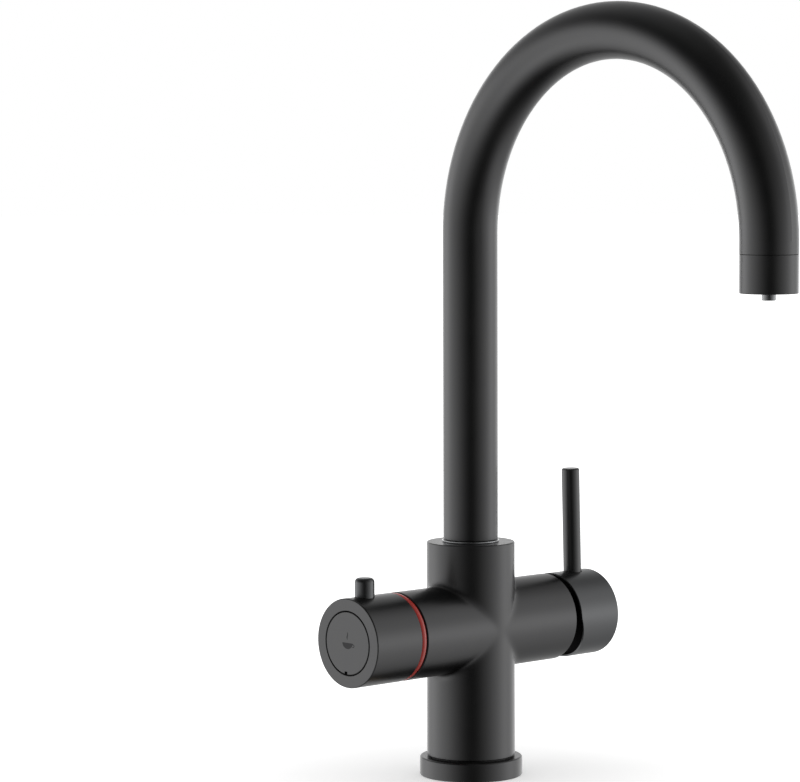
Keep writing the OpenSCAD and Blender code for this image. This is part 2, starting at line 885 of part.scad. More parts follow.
module pivot_pin() {
    color([0.7, 0.71, 0.72])
        right() translate([0, 0, pivot_w]) rotate([90, 0, 0]) rod(-12, 12, 1.5);
}

module cartridge_moving_disc() {
    color([0.93, 0.92, 0.88])
        right() translate([-disc_travel / 2, 0, 0]) difference() {
            rod(moving_disc_w, moving_disc_w + moving_disc_t, 11);
            rod(moving_disc_w - 1, moving_disc_w + 1.2, 7);
            translate([disc_travel / 2, 0, 0])
                rod(moving_disc_w + 2.3, moving_disc_w + moving_disc_t + 1, ball_r + gap);
        }
}

module disc_carrier() {
    color([0.2, 0.2, 0.22])
        right() difference() {
            intersection() {
                translate([-disc_travel / 2, 0, 0])
                    rod(disc_carrier_w, disc_carrier_w + disc_carrier_t, 11.8);
                translate([-20, -10.2, disc_carrier_w - 1]) cube([40, 20.4, 10]);
            }
            rod(disc_carrier_w - 1, disc_carrier_w + disc_carrier_t + 1, ball_r + gap);
        }
}

module lever_stem() {
    block_low = pivot_w - 3.5;
    color([0.72, 0.73, 0.74])
        right() difference() {
            union() {
                translate([0, 0, ball_w]) sphere(r = ball_r);
                rod(ball_w, block_low + 1, 1.7);
                translate([-4.5, -stem_half, block_low]) cube([9, 2 * stem_half, 8.5]);
                translate([-3.5, -stem_half, block_low + 5])
                    cube([7, 2 * stem_half, socket_end - block_low - 6]);
            }
            translate([0, 0, pivot_w]) rotate([90, 0, 0]) rod(-5, 5, 1.5 + run);
        }
}

// outline of the space cut off the cap's lower inner edge: a curve, then a straight slope
module cap_relief() {
    curve_r = 16;
    start = 4;
    reach = 60;
    bend = [for (i = [0:12])
        let (a = cap_cut * i / 12)
        [start - curve_r * sin(a), cap_w + curve_r * (1 - cos(a))]];
    last = bend[12];
    far = [last.x - reach * cos(cap_cut), last.y + reach * sin(cap_cut)];
    translate([0, 30, 0]) rotate([90, 0, 0])
        linear_extrude(60)
            polygon(concat([[start, cap_w - 10]], bend, [far, [far.x, cap_w - 10]]));
}

module lever_cap() {
    round_r = 0.9;
    color([0.09, 0.09, 0.095])
        right() difference() {
            rotate_extrude()
                polygon(concat([[0, cap_w], [cap_r - 0.3, cap_w], [cap_r, cap_w + 0.3]],
                               arc([cap_r - round_r, cap_end - round_r], round_r, 0, 90, 8),
                               [[0, cap_end]]));
            rod(cap_w - 1, hub_w, cap_bore_r);
            translate([-3.5 - seat, -stem_half - seat, hub_w - 1])
                cube([7 + 2 * seat, 2 * (stem_half + seat), socket_end - hub_w + 1]);
            cap_relief();
            // screwed seat of the rod
            lever_axis() {
                rod(8, cap_r, 3 + seat);
                rod(cap_r - 1.6, cap_r + 2, rod_r + 0.3);
            }
            // grub screw hole
            translate([0, 0, lever_grub_w]) rotate([0, -90, 0]) {
                rod(3, cap_r - 2, grub_r + seat);
                rod(cap_r - 2.5, cap_r + 1, 3 + seat);
            }
        }
}

// local +Z runs up the rod, from the arm's axis
module lever_axis() {
    translate([0, 0, rod_w]) rotate([0, 90, 0]) rotate([0, rod_lean, 0]) children();
}

module lever_rod() {
    color([0.09, 0.09, 0.095])
        right() lever_axis() {
            chamfered(cap_r - 1.5, rod_top, rod_r, 0, 0.6);
            rod(9, cap_r - 1, 3);
        }
}

module lever_grub_screw() {
    color([0.4, 0.4, 0.42])
        right() translate([0, 0, lever_grub_w]) rotate([0, -90, 0])
            difference() {
                rod(3.5 + seat, 11, grub_r);
                translate([0, 0, 8.5]) cylinder(h = 3, r = 1.45, $fn = 6);
            }
}

module grub_plug() {
    color([0.12, 0.12, 0.12])
        right() translate([0, 0, lever_grub_w]) rotate([0, -90, 0])
            intersection() {
                rod(cap_r - 2.45, cap_r + 1, 3);
                rotate([0, 90, 0]) rod(-4, 4, cap_r);
            }
}

// ---- spout ----

// places its children at the start of the outlet's straight drop, with +Z along the flow
module outlet() {
    translate([0, -spout_reach, bend_height]) rotate([180, 0, 0]) children();
}

// hollow pipe along the column, round the bend and down to the outlet
module swan_neck(z0, drop, ro, ri) {
    module solid(r, over) {
        rod(z0 - over, bend_height, r);
        translate([0, -bend_r, bend_height]) rotate([90, 0, 90])
            rotate_extrude(angle = 180) translate([bend_r, 0]) circle(r = r);
        outlet() rod(0, drop + over, r);
    }
    difference() {
        solid(ro, 0);
        solid(ri, 1);
    }
}

module spout_tube() {
    color([0.09, 0.09, 0.095])
        swan_neck(tube_foot, outlet_drop - sleeve_l - 0.15, tube_r, tube_in);
}

module boiling_pipe() {
    color([0.8, 0.8, 0.8]) swan_neck(pipe_z, outlet_drop - 7.3, pipe_r, pipe_in);
}

module spout_stem() {
    groove_r = stem_r - 1.25;
    stop_half = asin(1.7 / stem_r);
    color([0.78, 0.66, 0.38])
        difference() {
            union() {
                rod(socket_z + 0.4, tube_foot + 1, stem_r);
                rod(tube_foot, tube_foot + 14, tube_in - seat);
            }
            rod(socket_z, tube_foot + 15, flow_r);
            for (z = seal_zs) tube(z - 1.2, z + 1.2, stem_r + 1, stem_r - 1.85);
            // groove that the grub screw runs in, as long as the swing
            ring_sector(groove_z - 1.7, groove_z + 1.7, stem_r + 1, groove_r,
                        90 - spout_swing - stop_half, 90 + spout_swing + stop_half);
        }
}

module spout_seals() {
    cord = (socket_r - run - stem_r + 1.8) / 2;
    color([0.05, 0.05, 0.05]) for (z = seal_zs) o_ring(z, stem_r - 1.8 + cord, cord);
}

// heights along the outlet, measured down from the end of the bend
lip_t = 1.2;
aerator_low = outlet_drop - lip_t - 0.1;
aerator_high = aerator_low - 9.7;
washer_high = aerator_high - 1.9;
insert_r = tube_in - seat;

module outlet_insert() {
    color([0.78, 0.66, 0.38])
        outlet() tube(0.3, washer_high - 0.05, insert_r, insert_r - 2.4);
}

module nozzle_sleeve() {
    low = outlet_drop - sleeve_l;
    bore = tube_in + seat;
    color([0.09, 0.09, 0.095])
        outlet() rotate_extrude()
            polygon([[bore, low], [sleeve_d / 2 - 0.15, low], [sleeve_d / 2, low + 0.15],
                     [sleeve_d / 2, outlet_drop - 0.3], [sleeve_d / 2 - 0.3, outlet_drop],
                     [bore - 0.9, outlet_drop], [bore - 0.9, outlet_drop - lip_t],
                     [bore, outlet_drop - lip_t]]);
}

module aerator_housing() {
    color([0.85, 0.85, 0.84])
        outlet() {
            tube(aerator_high, aerator_low, insert_r, insert_r - 1.8);
            tube(aerator_high, aerator_high + 1.5, insert_r - 1, 5.3);
        }
}

module aerator_washer() {
    color([0.05, 0.05, 0.05])
        outlet() tube(washer_high, aerator_high - seat, insert_r, insert_r - 1.8);
}

module flow_straightener() {
    low = aerator_low - 4;
    high = aerator_low - 0.3;
    rim = insert_r - 1.8 - seat;
    ribs = 18;
    color([0.8, 0.8, 0.79])
        outlet() {
            tube(low, high, rim, rim - 0.7);
            tube(low, high, 7.2, 6.5);
            tube(low, high, 4.4, 3.4 + seat);
            for (i = [0:ribs - 1])
                rotate([0, 0, i * 360 / ribs])
                    translate([4, -0.3, low]) cube([rim - 4.3, 0.6, high - low]);
        }
}

module boiling_nozzle() {
    pipe_end = outlet_drop - 7.3;
    collar = pipe_end - 4;
    color([0.7, 0.71, 0.72])
        outlet() difference() {
            union() {
                chamfered(collar, outlet_drop + nozzle_out, 3.4, 0, 0.3);
                rod(collar, pipe_end + 1.5, pipe_r + 1.2);
            }
            rod(collar - 1, outlet_drop + nozzle_out + 1, 2.2);
            rod(collar - 1, pipe_end + seat, pipe_r + seat);
        }
}

body();
base_ring();
base_seal();
inlet_block();
inlet_block_seals();
shank();
deck_rubber_washer();
deck_steel_washer();
deck_nut();
slip_ring();
spout_bush();
spout_grub_screw();
riser();
riser_seal();
red_ring();
valve_body();
valve_gasket();
valve_seat_seal();
valve_fixed_disc();
stop_ring();
cartridge_base();
cartridge_seals();
cartridge_fixed_disc();
cartridge_shell();
cartridge_nut();
dome_cover();
spout_tube();
spout_stem();
spout_seals();
boiling_pipe();
outlet_insert();
nozzle_sleeve();
aerator_housing();
flow_straightener();
aerator_washer();
boiling_nozzle();
knob();
knob_peg();
knob_hub();
knob_screw();
stop_pin();
valve_spindle();
spindle_seal();
spindle_clip();
valve_moving_disc();
button_spring();
safety_button();
cartridge_turret();
pivot_pin();
cartridge_moving_disc();
disc_carrier();
lever_cap();
lever_rod();
lever_stem();
lever_grub_screw();
grub_plug();
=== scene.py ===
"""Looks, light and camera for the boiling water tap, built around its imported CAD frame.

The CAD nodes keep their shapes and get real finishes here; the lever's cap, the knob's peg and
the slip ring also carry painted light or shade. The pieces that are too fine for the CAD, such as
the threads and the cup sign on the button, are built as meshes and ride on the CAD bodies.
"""

import json
import logging
import math
from dataclasses import dataclass, field
from enum import Enum

import bmesh
import bpy
from mathutils import Matrix, Vector


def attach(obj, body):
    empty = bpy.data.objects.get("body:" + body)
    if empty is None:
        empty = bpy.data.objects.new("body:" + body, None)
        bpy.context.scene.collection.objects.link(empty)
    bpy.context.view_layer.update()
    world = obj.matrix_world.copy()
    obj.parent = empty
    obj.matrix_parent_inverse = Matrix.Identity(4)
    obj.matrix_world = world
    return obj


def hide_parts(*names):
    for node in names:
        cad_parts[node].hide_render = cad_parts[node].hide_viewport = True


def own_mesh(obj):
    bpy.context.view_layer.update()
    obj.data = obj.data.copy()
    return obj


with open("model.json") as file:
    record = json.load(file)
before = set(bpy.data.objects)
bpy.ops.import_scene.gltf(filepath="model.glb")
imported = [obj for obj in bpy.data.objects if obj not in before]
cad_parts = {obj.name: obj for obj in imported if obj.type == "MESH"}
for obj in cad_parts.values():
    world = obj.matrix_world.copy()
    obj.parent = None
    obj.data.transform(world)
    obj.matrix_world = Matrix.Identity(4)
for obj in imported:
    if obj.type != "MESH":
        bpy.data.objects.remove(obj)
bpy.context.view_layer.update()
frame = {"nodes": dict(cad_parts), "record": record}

LOG = logging.getLogger("tap")
# turns millimetres into the metres of the frame
MM = 0.001
# height of the axis that both arms share, in millimetres
ARM_Z = 76.0
# the coat's and the casting's tone drifts slowly over about this length, in millimetres
CLOUD_MM = 12.0
# the marks and the slow drift, each a noise of about 0.5, add up to a value between these
NOISE_LOW, NOISE_HIGH = 0.6, 1.4
# how much longer the marks of a lathe are along their ring than across it
RING_STRETCH = 8.0

Points = list[tuple[float, float, float]]
Faces = list[tuple[int, ...]]
Outline = list[tuple[float, float]]


# ---------------------------------------------------------------------------------------
# small helpers
# ---------------------------------------------------------------------------------------


def linear(hex_colour: str) -> tuple[float, float, float, float]:
    """Turns an sRGB colour into the linear values that a shader wants.

    Args:
        hex_colour: the colour as "#rrggbb".

    Returns:
        Red, green, blue and an alpha of 1, in linear light.
    """
    channels = [int(hex_colour[i : i + 2], 16) / 255 for i in (1, 3, 5)]
    light = [c / 12.92 if c <= 0.04045 else ((c + 0.055) / 1.055) ** 2.4 for c in channels]
    return (light[0], light[1], light[2], 1.0)


def add_node(
    tree: bpy.types.NodeTree, kind: str, inputs: dict | None = None, **settings: object
) -> bpy.types.Node:
    """Adds one shader node with its settings and links.

    Args:
        tree: the node tree that gets the node.
        kind: Blender's name for the node type.
        inputs: socket name to a value, or to the output socket that feeds it.
        settings: attributes of the node itself.

    Returns:
        The new node.
    """
    node = tree.nodes.new(kind)
    for name, value in settings.items():
        setattr(node, name, value)
    for name, value in (inputs or {}).items():
        socket = node.inputs[name]
        if isinstance(value, bpy.types.NodeSocket):
            tree.links.new(value, socket)
        else:
            socket.default_value = value
    return node


def from_crossing(
    tree: bpy.types.NodeTree, place: bpy.types.NodeSocket
) -> bpy.types.NodeSocket:
    """Counts object coordinates from the middle of the crossing of body and arms.

    Args:
        tree: the material's node tree.
        place: the object coordinates, in metres.

    Returns:
        The output socket with the shifted coordinates.
    """
    down = (0.0, 0.0, -ARM_Z * MM)
    shifted = add_node(tree, "ShaderNodeVectorMath", {0: place, 1: down}, operation="ADD")
    return shifted.outputs["Vector"]


def node_low(name: str) -> Vector:
    """Returns the low corner of a CAD node's box, in millimetres."""
    return Vector(min(axis) for axis in zip(*frame["nodes"][name].bound_box)) / MM


def joint(name: str) -> dict:
    """Returns the record's entry for one joint."""
    return next(j for j in frame["record"]["behaviour"]["joints"] if j["name"] == name)


# ---------------------------------------------------------------------------------------
# finishes
# ---------------------------------------------------------------------------------------


class Surface(Enum):
    """How a surface was made, which decides the marks that it carries."""

    COATED = "fine sprayed or deposited grain"
    TURNED_Z = "turned on a lathe about an upright axis"
    TURNED_X = "turned on a lathe about the arms' axis"
    MOULDED = "moulded, with a faint spark-eroded grain"
    LAPPED = "ground and lapped flat"


@dataclass(frozen=True)
class Finish:
    """One real material with the marks of how it was made.

    Sizes are in millimetres, and colours are sRGB hex values.
    """

    name: str
    colour: str
    tint: str
    surface: Surface
    roughness: float
    metallic: float = 0.0
    ior: float = 1.5
    grain_mm: float = 0.25
    grain_depth_mm: float = 0.004
    roughness_spread: float = 0.05
    edge_tint: float = 1.0

    def _marks(self, tree: bpy.types.NodeTree, place: bpy.types.NodeSocket) -> bpy.types.NodeSocket:
        """Makes the height pattern of the surface's marks.

        Args:
            tree: the material's node tree.
            place: the object coordinates, in metres.

        Returns:
            The output socket of a pattern from 0 to 1.
        """
        if self.surface in (Surface.TURNED_Z, Surface.TURNED_X):
            # the tool's feed leaves rings across the axis, broken up by a little noise
            ring = 1 / RING_STRETCH
            scale = (ring, ring, 1.0) if self.surface is Surface.TURNED_Z else (1.0, ring, ring)
            place = add_node(
                tree, "ShaderNodeMapping", {"Vector": place, "Scale": scale}
            ).outputs["Vector"]
            detail, breakup = 2.0, 0.6
        else:
            detail, breakup = (3.0 if self.surface is Surface.COATED else 1.5), 0.55
        return add_node(
            tree,
            "ShaderNodeTexNoise",
            {"Vector": place, "Scale": 1 / (self.grain_mm * MM), "Detail": detail,
             "Roughness": breakup},
        ).outputs["Fac"]

    def _zones(
        self,
        tree: bpy.types.NodeTree,
        place: bpy.types.NodeSocket,
        colour: bpy.types.NodeSocket,
        rough: bpy.types.NodeSocket,
    ) -> tuple[bpy.types.NodeSocket, bpy.types.NodeSocket]:
        """Leaves the finish alike all over; a finish with zones changes it here."""
        return colour, rough

    def _ground(
        self, tree: bpy.types.NodeTree, place: bpy.types.NodeSocket
    ) -> dict[str, bpy.types.NodeSocket]:
        """Leaves the edges as they are; a finish with softened corners changes them here."""
        return {}

    def build(self) -> bpy.types.Material:
        """Makes the material, or returns it if it was made before.

        Returns:
            The node-based material.
        """
        made = bpy.data.materials.get(self.name)
        if made:
            return made
        material = bpy.data.materials.new(self.name)
        material.use_nodes = True
        tree = material.node_tree
        tree.nodes.clear()
        place = add_node(tree, "ShaderNodeTexCoord").outputs["Object"]
        marks = self._marks(tree, place)
        # a slow change of tone, as no real coat or casting is perfectly even
        cloud = add_node(
            tree,
            "ShaderNodeTexNoise",
            {"Vector": place, "Scale": 1 / (CLOUD_MM * MM), "Detail": 2.0, "Roughness": 0.5},
        ).outputs["Fac"]
        both = add_node(
            tree, "ShaderNodeMath", {0: cloud, 1: marks}, operation="ADD"
        ).outputs["Value"]
        share = add_node(
            tree,
            "ShaderNodeMapRange",
            {"Value": both, "From Min": NOISE_LOW, "From Max": NOISE_HIGH},
        ).outputs["Result"]
        colour = add_node(
            tree,
            "ShaderNodeMixRGB",
            {"Fac": share, "Color1": linear(self.colour), "Color2": linear(self.tint)},
        ).outputs["Color"]
        rough = add_node(
            tree,
            "ShaderNodeMapRange",
            {
                "Value": both,
                "From Min": NOISE_LOW,
                "From Max": NOISE_HIGH,
                "To Min": self.roughness - self.roughness_spread,
                "To Max": self.roughness + self.roughness_spread,
            },
        ).outputs["Result"]
        colour, rough = self._zones(tree, place, colour, rough)
        bump = add_node(
            tree,
            "ShaderNodeBump",
            {
                "Strength": 1.0,
                "Distance": self.grain_depth_mm * MM,
                "Height": marks,
                **self._ground(tree, place),
            },
        ).outputs["Normal"]
        shader = add_node(
            tree,
            "ShaderNodeBsdfPrincipled",
            {
                "Base Color": colour,
                "Roughness": rough,
                "Normal": bump,
                "Metallic": self.metallic,
                "IOR": self.ior,
                "Specular Tint": (self.edge_tint,) * 3 + (1.0,),
            },
        )
        add_node(tree, "ShaderNodeOutputMaterial", {"Surface": shader.outputs["BSDF"]})
        return material


@dataclass(frozen=True)
class BoreShadeFinish(Finish):
    """A finish of a piece with a blind bore along X, duller inside it and with painted shade there.
    """

    bore_radius_mm: float = 21.5
    bore_end_mm: float = 68.0
    # painted shade: this near-black colour inside the bore stands in for the shade there
    bore_shade_colour: str = "#1d1d1e"
    bore_roughness: float = 0.6

    def _zones(
        self,
        tree: bpy.types.NodeTree,
        place: bpy.types.NodeSocket,
        colour: bpy.types.NodeSocket,
        rough: bpy.types.NodeSocket,
    ) -> tuple[bpy.types.NodeSocket, bpy.types.NodeSocket]:
        """Mixes in the painted shade and the duller roughness where the surface lies inside the
        bore.

        Args:
            tree: the material's node tree.
            place: the object coordinates, in metres.
            colour: the colour outside the bore.
            rough: the roughness outside the bore.

        Returns:
            The colour and the roughness, with the bore's painted shade and roughness in their
            place.
        """
        parts = add_node(tree, "ShaderNodeSeparateXYZ", {"Vector": from_crossing(tree, place)})
        across = add_node(
            tree, "ShaderNodeCombineXYZ", {"Y": parts.outputs["Y"], "Z": parts.outputs["Z"]}
        ).outputs["Vector"]
        radius = add_node(
            tree, "ShaderNodeVectorMath", {0: across}, operation="LENGTH"
        ).outputs["Value"]
        within = add_node(
            tree, "ShaderNodeMath", {0: radius, 1: self.bore_radius_mm * MM}, operation="LESS_THAN"
        ).outputs[0]
        before = add_node(
            tree,
            "ShaderNodeMath",
            {0: parts.outputs["X"], 1: self.bore_end_mm * MM},
            operation="LESS_THAN",
        ).outputs[0]
        inside = add_node(
            tree, "ShaderNodeMath", {0: within, 1: before}, operation="MULTIPLY"
        ).outputs[0]
        # painted shade: the colour turns near black inside the bore
        colour_with_painted_shade = add_node(
            tree,
            "ShaderNodeMixRGB",
            {"Fac": inside, "Color1": colour, "Color2": linear(self.bore_shade_colour)},
        ).outputs["Color"]
        duller = add_node(
            tree,
            "ShaderNodeMix",
            {"Factor": inside, "A": rough, "B": self.bore_roughness},
        ).outputs["Result"]
        return colour_with_painted_shade, duller


@dataclass(frozen=True)
class TopShadedFinish(Finish):
    """A finish of a level ring in its own bright colour, with painted shade near its top."""

    # painted shade: above this height the ring turns near black, for the shade under the tube's
    # foot
    top_shade_above_mm: float = 120.92
    top_shade_colour: str = "#2a2a2b"

    def _zones(
        self,
        tree: bpy.types.NodeTree,
        place: bpy.types.NodeSocket,
        colour: bpy.types.NodeSocket,
        rough: bpy.types.NodeSocket,
    ) -> tuple[bpy.types.NodeSocket, bpy.types.NodeSocket]:
        """Mixes in the painted shade above the bright part.

        Args:
            tree: the material's node tree.
            place: the object coordinates, in metres.
            colour: the colour of the bright part.
            rough: the roughness, which stays as it is.

        Returns:
            The colour, with the painted shade in its place above, and the roughness.
        """
        height = add_node(tree, "ShaderNodeSeparateXYZ", {"Vector": place}).outputs["Z"]
        above = add_node(
            tree,
            "ShaderNodeMath",
            {0: height, 1: self.top_shade_above_mm * MM},
            operation="GREATER_THAN",
        ).outputs[0]
        # painted shade: the colour turns near black above that height
        colour_with_painted_shade = add_node(
            tree,
            "ShaderNodeMixRGB",
            {"Fac": above, "Color1": colour, "Color2": linear(self.top_shade_colour)},
        ).outputs["Color"]
        return colour_with_painted_shade, rough


@dataclass(frozen=True)
class CrossFinish(Finish):
    """A finish of a casting whose corners near the crossing of its arms were ground soft."""

    corner_mm: float = 5.0
    reach_mm: float = 35.0

    def _ground(
        self, tree: bpy.types.NodeTree, place: bpy.types.NodeSocket
    ) -> dict[str, bpy.types.NodeSocket]:
        """Turns the normals near the corners as a ground corner would.

        Args:
            tree: the material's node tree.
            place: the object coordinates, in metres.

        Returns:
            The softened normal, for the bump node.
        """
        away = add_node(
            tree, "ShaderNodeVectorMath", {0: from_crossing(tree, place)}, operation="LENGTH"
        ).outputs["Value"]
        near = add_node(
            tree, "ShaderNodeMath", {0: away, 1: self.reach_mm * MM}, operation="LESS_THAN"
        ).outputs[0]
        radius = add_node(
            tree, "ShaderNodeMath", {0: near, 1: self.corner_mm * MM}, operation="MULTIPLY"
        ).outputs[0]
        corner = add_node(tree, "ShaderNodeBevel", {"Radius": radius}, samples=8)
        return {"Normal": corner.outputs["Normal"]}


# Brass with a deposited black finish. It mirrors like a dark metal with a fine matte grain,
# so its flanks catch the side light and its front stays nearly black.
BLACK_DEPOSIT = {
    "surface": Surface.COATED, "roughness": 0.32, "metallic": 1.0, "grain_mm": 0.3,
    "grain_depth_mm": 0.004, "roughness_spread": 0.03, "edge_tint": 0.75,
}
BLACK_COAT = Finish("black_deposited_brass", "#606061", "#636363", **BLACK_DEPOSIT)
# The body has the same finish, and the corners where the arms leave it were ground soft.
BODY_COAT = CrossFinish("black_deposited_brass_body", "#606061", "#636363", **BLACK_DEPOSIT)
# The small peg on the knob has painted light: the same coat, in a lighter copy.
PEG_COAT_PAINTED_LIGHTER = Finish("black_deposited_brass_peg_painted_lighter", "#6c6d6e", "#6f7071", **BLACK_DEPOSIT)
# The lever's cap is a lighter copy too, with painted light, and its duller bore has painted shade.
CAP_COAT_PAINTED_LIGHT_AND_SHADE = BoreShadeFinish("black_deposited_brass_cap_painted_light_and_shade", "#6c6d6e", "#6f7071", **BLACK_DEPOSIT)
# Machined brass inside and under the worktop: warm yellow with the rings of the lathe.
RAW_BRASS = Finish(
    "turned_brass", "#c9a76a", "#b99456", Surface.TURNED_Z, 0.3, metallic=1.0,
    grain_mm=0.35, grain_depth_mm=0.006, roughness_spread=0.06,
)
# Plain stainless steel of the washer, pins and inner pipe: grey, softly glossy.
STEEL = Finish(
    "plain_stainless_steel", "#b9bbbd", "#a9abad", Surface.TURNED_Z, 0.32, metallic=1.0,
    grain_mm=0.3, grain_depth_mm=0.004,
)
# Polished stainless steel of the thin ring under the spout, with painted shade near its top.
RING_STEEL = TopShadedFinish(
    "polished_stainless_steel_top_shaded", "#eceef0", "#dfe1e3", Surface.TURNED_Z, 0.2, metallic=1.0,
    grain_mm=0.4, grain_depth_mm=0.002, roughness_spread=0.03,
)
# Cold-drawn spring wire: bright, with fine lines of the drawing.
SPRING_STEEL = Finish(
    "drawn_spring_steel", "#c6c8ca", "#b8babc", Surface.TURNED_X, 0.26, metallic=1.0,
    grain_mm=0.2, grain_depth_mm=0.002, roughness_spread=0.03,
)
# Turned stainless steel of the small nozzle, dulled by scale and heat.
NOZZLE_STEEL = Finish(
    "turned_dull_steel", "#a8a9aa", "#9a9b9c", Surface.TURNED_Z, 0.36, metallic=1.0,
    grain_mm=0.3, grain_depth_mm=0.004,
)
# Blackened steel of the grub screws and clips: dull and nearly black.
DARK_STEEL = Finish(
    "blackened_steel", "#3a3a3c", "#2f2f31", Surface.TURNED_Z, 0.42, metallic=1.0,
    grain_mm=0.3, grain_depth_mm=0.004,
)
# EPDM rubber of the seals and the washer under the worktop: deep black, no gloss.
RUBBER = Finish(
    "moulded_rubber", "#1a1a1a", "#232323", Surface.MOULDED, 0.78,
    grain_mm=0.5, grain_depth_mm=0.01,
)
# Lacquered ABS of the red ring: warm red under a strong gloss that lights up one flank of
# its bead.
RED_RING = Finish(
    "moulded_red_abs", "#9c302b", "#a63831", Surface.MOULDED, 0.16, ior=1.85,
    grain_mm=0.4, grain_depth_mm=0.001, roughness_spread=0.02,
)
# Plated ABS of the push button, in the same black as the brass round it.
PLATED_ABS = Finish(
    "black_plated_abs", "#606061", "#646464", Surface.COATED, 0.34, metallic=1.0,
    grain_mm=0.3, grain_depth_mm=0.003, roughness_spread=0.03, edge_tint=0.75,
)
# Black ABS of the plug under the cap, with a spark-eroded grain that takes off the shine.
BLACK_PLASTIC = Finish(
    "moulded_black_abs", "#161617", "#1c1c1d", Surface.MOULDED, 0.45,
    grain_mm=0.4, grain_depth_mm=0.006,
)
# Glossy black ABS of the dome under the lever: smooth, with small sharp glints.
GLOSS_BLACK = Finish(
    "glossy_black_abs", "#070708", "#09090a", Surface.LAPPED, 0.12,
    grain_mm=1.2, grain_depth_mm=0.0005, roughness_spread=0.02,
)
# Acetal of the bush and of the cartridge's base and turning part: waxy white.
WHITE_ACETAL = Finish(
    "moulded_white_acetal", "#e4e3dd", "#dad9d2", Surface.MOULDED, 0.4, ior=1.48,
    grain_mm=0.5, grain_depth_mm=0.004,
)
# Cream glass-filled nylon of the knob's hub.
CREAM_NYLON = Finish(
    "moulded_cream_nylon", "#d3cab0", "#c6bca0", Surface.MOULDED, 0.5,
    grain_mm=0.5, grain_depth_mm=0.006,
)
# Light grey acetal of the flow straightener and its housing.
GREY_ACETAL = Finish(
    "moulded_grey_acetal", "#b4b6b8", "#a8aaac", Surface.MOULDED, 0.38,
    grain_mm=0.4, grain_depth_mm=0.004,
)
# Blue nylon of the cartridge's housing.
BLUE_NYLON = Finish(
    "moulded_blue_nylon", "#34559a", "#2d4b8a", Surface.MOULDED, 0.42,
    grain_mm=0.5, grain_depth_mm=0.006,
)
# Dark glass-filled nylon of the carrier on the ceramic disc.
DARK_NYLON = Finish(
    "moulded_dark_nylon", "#3a3b3e", "#333437", Surface.MOULDED, 0.5,
    grain_mm=0.5, grain_depth_mm=0.006,
)
# Lapped alumina of the sealing discs: ivory white, very even, with a dull gloss.
ALUMINA = Finish(
    "lapped_alumina_ceramic", "#e9e5d6", "#e2ddcc", Surface.LAPPED, 0.24, ior=1.76,
    grain_mm=0.3, grain_depth_mm=0.001, roughness_spread=0.03,
)
# The cup sign is marked into the plating by laser: the same metal, but rougher and darker.
SIGN_MARK = Finish(
    "laser_marked_plating", "#4d4d4e", "#484849", Surface.COATED, 0.5, metallic=1.0,
    grain_mm=0.2, grain_depth_mm=0.006, edge_tint=0.75,
)

SLOT_FINISHES: dict[str, Finish] = {
    "black_metal": BLACK_COAT,
    "raw_brass": RAW_BRASS,
    "steel": STEEL,
    "bright_steel": SPRING_STEEL,
    "dark_steel": DARK_STEEL,
    "black_rubber": RUBBER,
    "red_plastic": RED_RING,
    "black_plastic": BLACK_PLASTIC,
    "dark_plastic": DARK_NYLON,
    "white_plastic": WHITE_ACETAL,
    "cream_plastic": CREAM_NYLON,
    "grey_plastic": GREY_ACETAL,
    "blue_plastic": BLUE_NYLON,
    "gloss_black": GLOSS_BLACK,
    "ceramic_white": ALUMINA,
}

# nodes that don't wear the plain finish of their slot: the button is plated to match the
# knob, the insert and the stem are brazed to the tube and coated with it, the nozzle is dull,
# the body's corners are soft, the cap and the peg are lighter copies with painted light, the
# cap's bore has painted shade, and the slip ring has painted shade near its top
NODE_FINISHES: dict[str, Finish] = {
    "safety_button": PLATED_ABS,
    "outlet_insert": BLACK_COAT,
    "boiling_nozzle": NOZZLE_STEEL,
    "lever_cap": CAP_COAT_PAINTED_LIGHT_AND_SHADE,
    "body": BODY_COAT,
    "knob_peg": PEG_COAT_PAINTED_LIGHTER,
    "slip_ring": RING_STEEL,
    "spout_stem": BLACK_COAT,
}


# ---------------------------------------------------------------------------------------
# meshes
# ---------------------------------------------------------------------------------------


def mesh_piece(
    name: str,
    points: Points,
    faces: Faces,
    finish: Finish,
    smooth: bool = True,
) -> bpy.types.Object:
    """Makes a mesh object from points in millimetres.

    Args:
        name: the object's name.
        points: vertices, in millimetres, in the shared frame.
        faces: vertex numbers of each face.
        finish: the finish that it gets.
        smooth: whether its faces are shaded smooth.

    Returns:
        The new object, linked to the scene.
    """
    mesh = bpy.data.meshes.new(name)
    mesh.from_pydata([tuple(c * MM for c in p) for p in points], [], faces)
    work = bmesh.new()
    work.from_mesh(mesh)
    bmesh.ops.recalc_face_normals(work, faces=work.faces)
    for face in work.faces:
        face.smooth = smooth
    work.to_mesh(mesh)
    work.free()
    mesh.materials.append(finish.build())
    piece = bpy.data.objects.new(name, mesh)
    bpy.context.scene.collection.objects.link(piece)
    return piece


